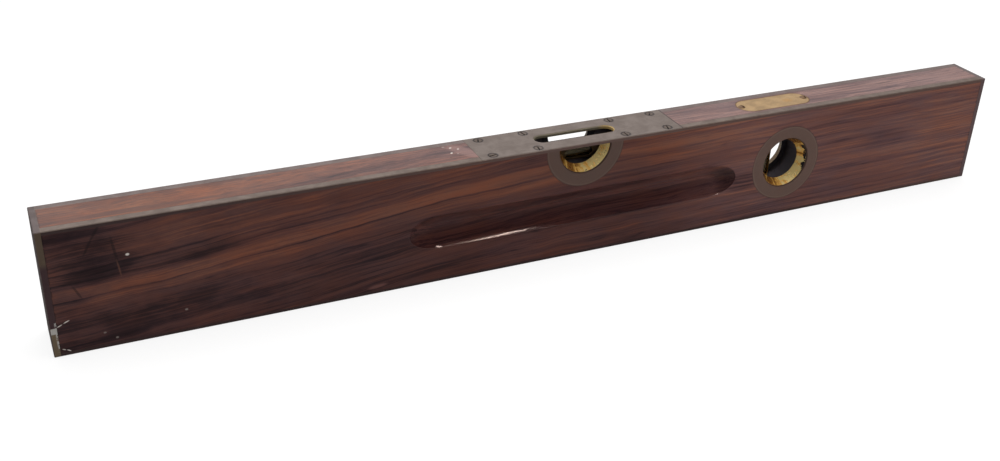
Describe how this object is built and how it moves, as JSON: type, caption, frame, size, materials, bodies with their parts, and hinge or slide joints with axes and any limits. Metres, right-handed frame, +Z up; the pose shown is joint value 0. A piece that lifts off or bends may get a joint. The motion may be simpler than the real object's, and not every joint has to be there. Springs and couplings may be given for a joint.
{
  "type": "plumb and level",
  "caption": "Brass-bound rosewood plumb and level with an adjustable level vial under a slotted top plate, a plumb vial in a round port, and finger grooves.",
  "frame": {"origin": "middle of the base, halfway along the bar", "axes": "+X along the bar towards the plumb end, +Y to the back, +Z up from the base"},
  "size_m": [0.7112, 0.035, 0.0868],
  "materials": {
    "rosewood": "oiled and worn, dark streaks",
    "dull_brass": "aged, dull brown-grey tarnish",
    "bright_brass": "satin, lightly tarnished",
    "steel": "plain",
    "glass": "clear",
    "spirit": "pale yellow liquid",
    "air": "clear air bubble",
    "plaster": "matt plaster"
  },
  "bodies": {
    "base": {"stock": "rosewood", "strip_top_front_left": "dull_brass", "strip_top_front_right": "dull_brass", "strip_top_rear_left": "dull_brass", "strip_top_rear_right": "dull_brass", "strip_bottom_front": "dull_brass", "strip_bottom_rear": "dull_brass", "end_plate_left": "dull_brass", "end_plate_right": "dull_brass", "end_plate_screws": "dull_brass", "top_plate": "dull_brass", "top_plate_screws": "dull_brass", "centre_port_front": "dull_brass", "centre_port_rear": "dull_brass", "plumb_port_front": "dull_brass", "plumb_port_rear": "dull_brass", "plumb_cover": "bright_brass", "plumb_cover_screws": "bright_brass", "level_bracket": "dull_brass", "level_hinge_pin": "steel", "level_foot_plate": "dull_brass", "level_fixing_screws": "dull_brass", "level_spring": "steel", "plumb_bracket": "dull_brass", "plumb_hinge_pin": "steel", "plumb_foot_plate": "dull_brass", "plumb_fixing_screws": "dull_brass", "plumb_spring": "steel"},
    "level_unit": {"level_case": "bright_brass", "level_hinge_cap": "bright_brass", "level_screw_cap": "bright_brass", "level_plaster": "plaster", "level_vial": "glass", "level_spirit": "spirit"},
    "level_bubble": {"level_bubble": "air"},
    "level_washer": {"level_washer": "steel"},
    "level_screw": {"level_adjusting_screw": "steel"},
    "plumb_unit": {"plumb_case": "bright_brass", "plumb_arm": "bright_brass", "plumb_foot_cap": "bright_brass", "plumb_plaster": "plaster", "plumb_vial": "glass", "plumb_spirit": "spirit"},
    "plumb_bubble": {"plumb_bubble": "air"},
    "plumb_washer": {"plumb_washer": "steel"},
    "plumb_screw": {"plumb_adjusting_screw": "steel"}
  },
  "joints": [
    {"name": "level_tilt", "type": "hinge", "parent": "base", "child": "level_unit", "pos_m": [-0.05, 0, 0.0745], "axis": [0, 1, 0], "range_deg": [-0.45, 0.45], "deforming": ["level_spring"]},
    {"name": "level_bubble_run", "type": "slide", "parent": "level_unit", "child": "level_bubble", "axis": [1, 0, 0], "range_m": [-0.024, 0.024], "stiffness_N_per_m": 2, "deforming": ["level_spirit"]},
    {"name": "level_washer_lift", "type": "slide", "parent": "base", "child": "level_washer", "axis": [0, 0, 1], "range_m": [-0.0008, 0.0008]},
    {"name": "level_screw_turn", "type": "hinge", "parent": "level_washer", "child": "level_screw", "pos_m": [0.05, 0, 0.0777], "axis": [0, 0, 1], "range_deg": [-358, 358]},
    {"name": "plumb_tilt", "type": "hinge", "parent": "base", "child": "plumb_unit", "pos_m": [0.15205, 0, 0.076], "axis": [0, 1, 0], "range_deg": [-1.2, 1.2], "deforming": ["plumb_spring"]},
    {"name": "plumb_bubble_run", "type": "slide", "parent": "plumb_unit", "child": "plumb_bubble", "axis": [0, 0, 1], "range_m": [-0.0385, 0], "stiffness_N_per_m": 2, "springref_m": 0.006, "deforming": ["plumb_spirit"]},
    {"name": "plumb_washer_lift", "type": "slide", "parent": "base", "child": "plumb_washer", "axis": [0, 0, 1], "range_m": [-0.00066, 0.00066]},
    {"name": "plumb_screw_turn", "type": "hinge", "parent": "plumb_washer", "child": "plumb_screw", "pos_m": [0.18295, 0, 0.0792], "axis": [0, 0, 1], "range_deg": [-296, 296]}
  ],
  "couplings": [
    {"joint": "level_washer_lift", "follows": "level_tilt", "m_per_rad": -0.1},
    {"joint": "level_screw_turn", "follows": "level_tilt", "ratio": -791.58},
    {"joint": "plumb_washer_lift", "follows": "plumb_tilt", "m_per_rad": -0.0309},
    {"joint": "plumb_screw_turn", "follows": "plumb_tilt", "ratio": -244.6}
  ]
}
